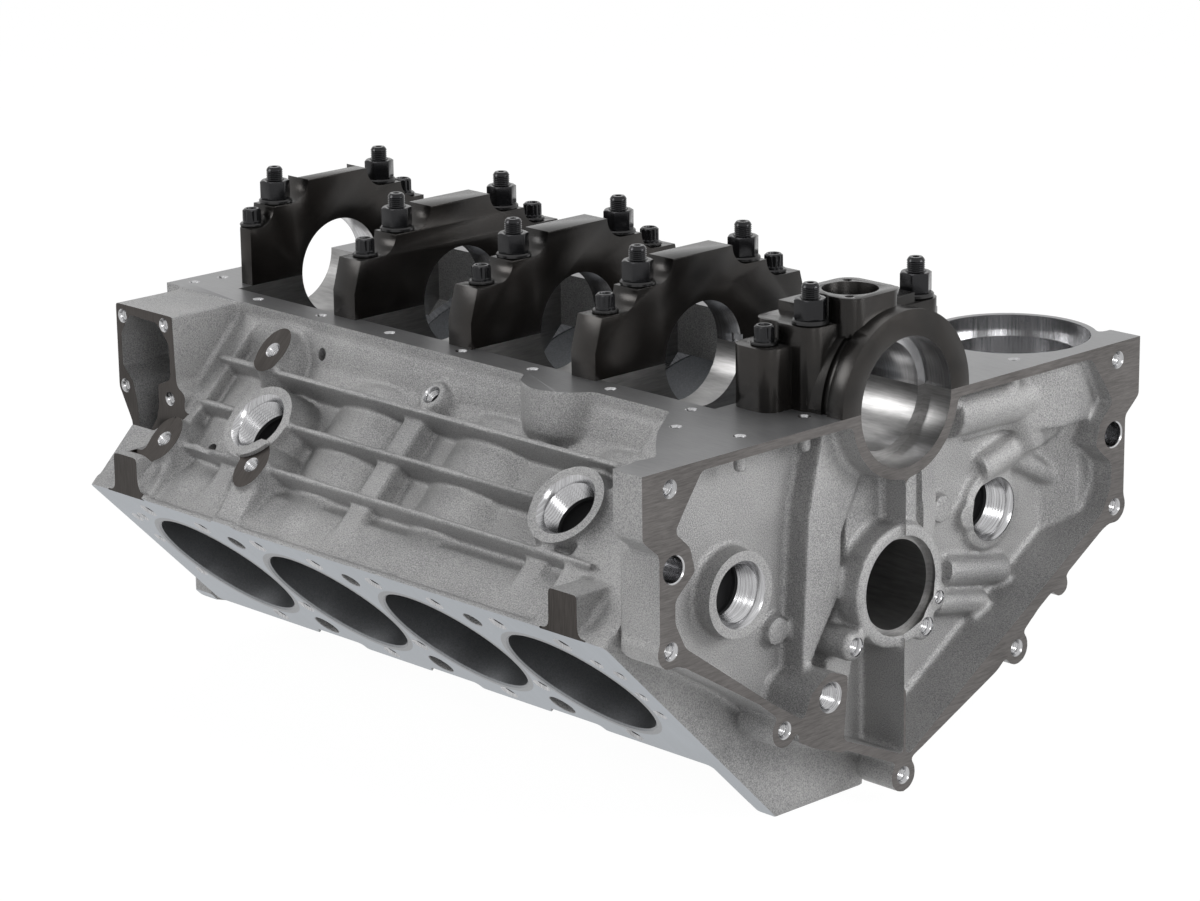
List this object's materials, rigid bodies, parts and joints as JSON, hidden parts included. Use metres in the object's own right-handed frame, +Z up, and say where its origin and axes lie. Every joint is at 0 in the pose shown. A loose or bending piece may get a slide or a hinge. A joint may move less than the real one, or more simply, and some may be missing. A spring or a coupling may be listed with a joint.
{
  "type": "engine block",
  "caption": "Bare aluminium V8 cylinder block with pressed-in iron liners and bolted steel main bearing caps, shown upside down",
  "frame": {"origin": "on the crank axis at the centre main bearing, in the plane of the pan rail", "axes": "+X along the crank towards the bell housing face, +Z up out of the pan rail (away from the cylinders), +Y completes the right hand and points to the bank with the filter recess"},
  "size_m": [0.5658, 0.443, 0.327],
  "materials": {
    "cast_aluminium": "grainy as-cast walls with machined faces",
    "liner_iron": "honed bore",
    "black_steel_cap": "black oxide, semi-gloss",
    "black_steel_fastener": "black oxide, semi-gloss",
    "washer_steel": "dark ground steel"
  },
  "bodies": {
    "root": {"cylinder_block": "cast_aluminium", "cylinder_liner_1": "liner_iron", "cylinder_liner_2": "liner_iron", "cylinder_liner_3": "liner_iron", "cylinder_liner_4": "liner_iron", "cylinder_liner_5": "liner_iron", "cylinder_liner_6": "liner_iron", "cylinder_liner_7": "liner_iron", "cylinder_liner_8": "liner_iron", "main_cap_1": "black_steel_cap", "main_cap_2": "black_steel_cap", "main_cap_3": "black_steel_cap", "main_cap_4": "black_steel_cap", "main_cap_5": "black_steel_cap", "cap_1_studs": "black_steel_fastener", "cap_1_stud_nuts": "black_steel_fastener", "cap_1_outer_bolts": "black_steel_fastener", "cap_1_stud_washers": "washer_steel", "cap_1_outer_bolt_washers": "washer_steel", "cap_2_studs": "black_steel_fastener", "cap_2_stud_nuts": "black_steel_fastener", "cap_2_outer_bolts": "black_steel_fastener", "cap_2_stud_washers": "washer_steel", "cap_2_outer_bolt_washers": "washer_steel", "cap_3_studs": "black_steel_fastener", "cap_3_stud_nuts": "black_steel_fastener", "cap_3_outer_bolts": "black_steel_fastener", "cap_3_stud_washers": "washer_steel", "cap_3_outer_bolt_washers": "washer_steel", "cap_4_studs": "black_steel_fastener", "cap_4_stud_nuts": "black_steel_fastener", "cap_4_outer_bolts": "black_steel_fastener", "cap_4_stud_washers": "washer_steel", "cap_4_outer_bolt_washers": "washer_steel", "cap_5_studs": "black_steel_fastener", "cap_5_stud_nuts": "black_steel_fastener", "cap_5_outer_bolts": "black_steel_fastener", "cap_5_stud_washers": "washer_steel", "cap_5_outer_bolt_washers": "washer_steel"}
  },
  "joints": []
}
